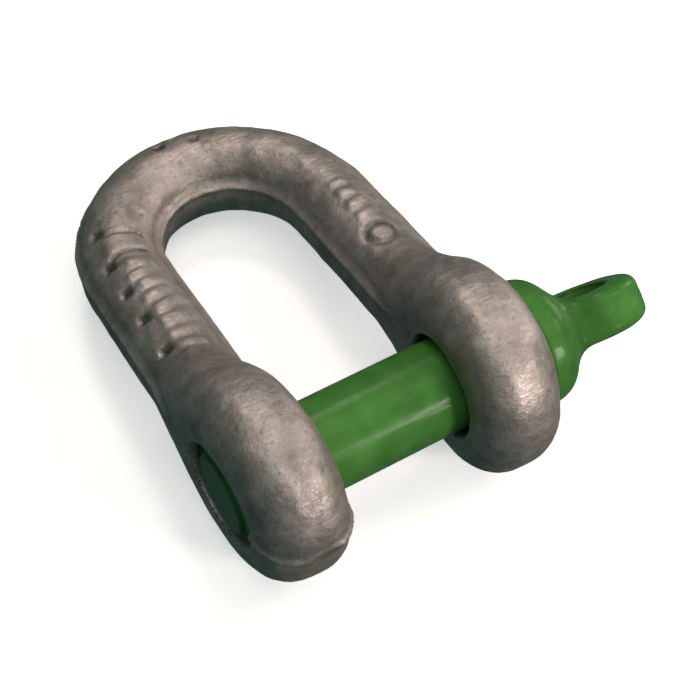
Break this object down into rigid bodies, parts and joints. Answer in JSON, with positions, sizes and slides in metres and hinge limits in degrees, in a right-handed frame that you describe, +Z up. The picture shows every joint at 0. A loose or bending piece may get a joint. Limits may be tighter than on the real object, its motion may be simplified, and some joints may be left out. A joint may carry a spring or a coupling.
{
  "type": "dee shackle",
  "caption": "D-shaped lifting shackle: a round-bar bow with two round ears, closed by a screw pin with a collar and a flat eye head.",
  "frame": {"origin": "on the pin's axis, midway between the two ears", "axes": "+X along the pin towards its head, +Y towards the crown, +Z up with the shackle lying at rest on its two ears and its crown"},
  "size_m": [0.1147, 0.1351, 0.0504],
  "materials": {
    "galvanised_steel": "hot-dip galvanised forging, dull with fine pits",
    "green_enamel": "gloss green enamel on forged steel"
  },
  "bodies": {
    "bow": {"bow_body": "galvanised_steel"},
    "pin": {"screw_pin": "green_enamel"}
  },
  "joints": [
    {"name": "pin_withdraw", "type": "slide", "parent": "bow", "child": "pin", "axis": [1, 0, 0], "range_m": [0, 0.095]}
  ]
}
